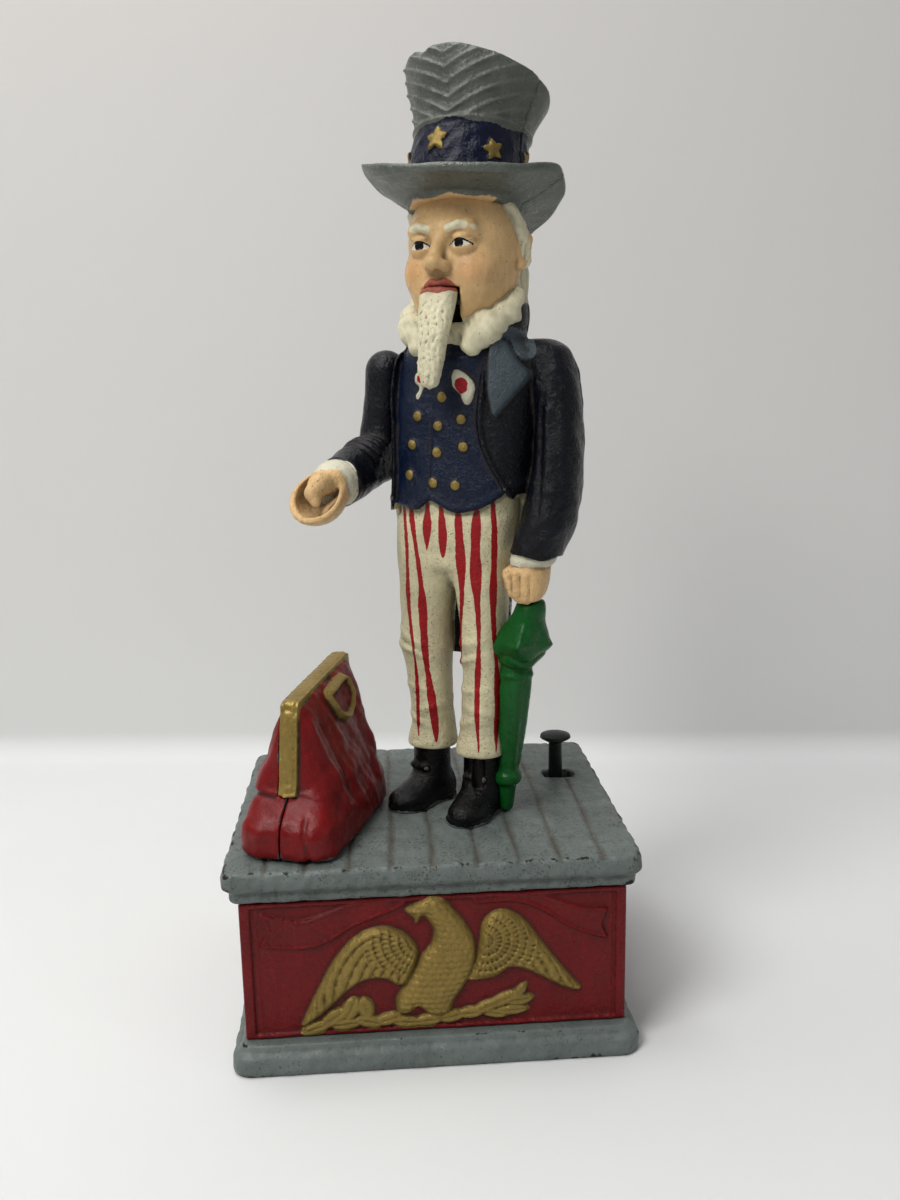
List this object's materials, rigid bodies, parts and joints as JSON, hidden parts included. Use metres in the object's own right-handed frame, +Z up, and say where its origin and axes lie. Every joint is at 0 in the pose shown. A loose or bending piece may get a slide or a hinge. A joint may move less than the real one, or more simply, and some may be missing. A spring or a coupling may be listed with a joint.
{
  "type": "mechanical bank",
  "caption": "Cast iron mechanical coin bank: a standing bearded figure in a top hat on a plank-topped box, with a thumb lever that lowers the arm, opens the jaw and opens a carpet bag.",
  "frame": {"origin": "middle of the base's underside", "axes": "+Z up, the decorated front panel faces -Y, +X to the right of someone looking at the front"},
  "size_m": [0.122, 0.108, 0.2921],
  "materials": {
    "grey_paint": "satin",
    "red_paint": "gloss",
    "navy_paint": "gloss",
    "cream_paint": "satin",
    "green_paint": "gloss",
    "bare_iron": "rough",
    "steel": "satin"
  },
  "bodies": {
    "case": {"base_plate": "grey_paint", "platform": "grey_paint", "front_panel": "red_paint", "back_panel": "red_paint", "left_panel": "red_paint", "right_panel": "red_paint", "case_bolt_front_left": "steel", "case_bolt_front_right": "steel", "case_bolt_back_left": "steel", "case_bolt_back_right": "steel", "trap_pivot_screw": "steel", "trap_catch_screw": "steel", "lever_pivot_pin": "steel", "return_spring": "steel", "figure_front": "navy_paint", "figure_back": "navy_paint", "umbrella": "green_paint", "figure_screw_upper": "steel", "figure_screw_lower": "steel", "foot_screw": "steel", "foot_rivet": "steel", "jaw_pin": "steel", "bag_body": "red_paint", "bag_hinge_pin": "steel", "bag_screw_front": "steel", "bag_screw_rear": "steel"},
    "thumb_lever": {"thumb_lever": "bare_iron"},
    "arm": {"right_arm": "navy_paint", "shoulder_shaft": "steel", "arm_crank": "bare_iron"},
    "pull_rod": {"pull_rod": "steel"},
    "jaw_rod": {"jaw_rod": "steel"},
    "jaw": {"jaw": "cream_paint"},
    "bag_door": {"bag_door": "red_paint"},
    "coin_trap": {"coin_trap_cover": "bare_iron"}
  },
  "joints": [
    {"name": "lever_press", "type": "hinge", "parent": "case", "child": "thumb_lever", "pos_m": [-0.016, 0.00175, 0.0463], "axis": [0, 1, 0], "range_deg": [0, 8.5], "stiffness_Nm_per_rad": 0.6, "springref_deg": -10, "deforming": ["return_spring"]},
    {"name": "arm_swing", "type": "hinge", "parent": "case", "child": "arm", "pos_m": [0.01203, -0.00123, 0.2005], "axis": [0.9135, -0.4067, 0], "range_deg": [0, 33.6]},
    {"name": "pull_rod_slide", "type": "slide", "parent": "case", "child": "pull_rod", "axis": [0, 0, -1], "range_m": [0, 0.00262]},
    {"name": "jaw_rod_slide", "type": "slide", "parent": "case", "child": "jaw_rod", "axis": [0, 0, 1], "range_m": [0, 0.00214]},
    {"name": "jaw_nod", "type": "hinge", "parent": "case", "child": "jaw", "pos_m": [0.01198, -0.0088, 0.2225], "axis": [0.848, -0.5299, 0], "range_deg": [0, 10.5]},
    {"name": "bag_open", "type": "hinge", "parent": "case", "child": "bag_door", "pos_m": [-0.04188, -0.01514, 0.0655], "axis": [-0.309, -0.9511, 0], "range_deg": [0, 15]},
    {"name": "coin_trap_swing", "type": "hinge", "parent": "case", "child": "coin_trap", "pos_m": [0.0245, 0, 0.0045], "axis": [0, 0, -1], "range_deg": [0, 60]}
  ],
  "couplings": [
    {"joint": "arm_swing", "follows": "lever_press", "ratio": 3.95},
    {"joint": "pull_rod_slide", "follows": "lever_press", "m_per_rad": 0.01755},
    {"joint": "jaw_rod_slide", "follows": "lever_press", "m_per_rad": 0.01439},
    {"joint": "jaw_nod", "follows": "lever_press", "ratio": 1.235},
    {"joint": "bag_open", "follows": "lever_press", "ratio": 1.764}
  ]
}
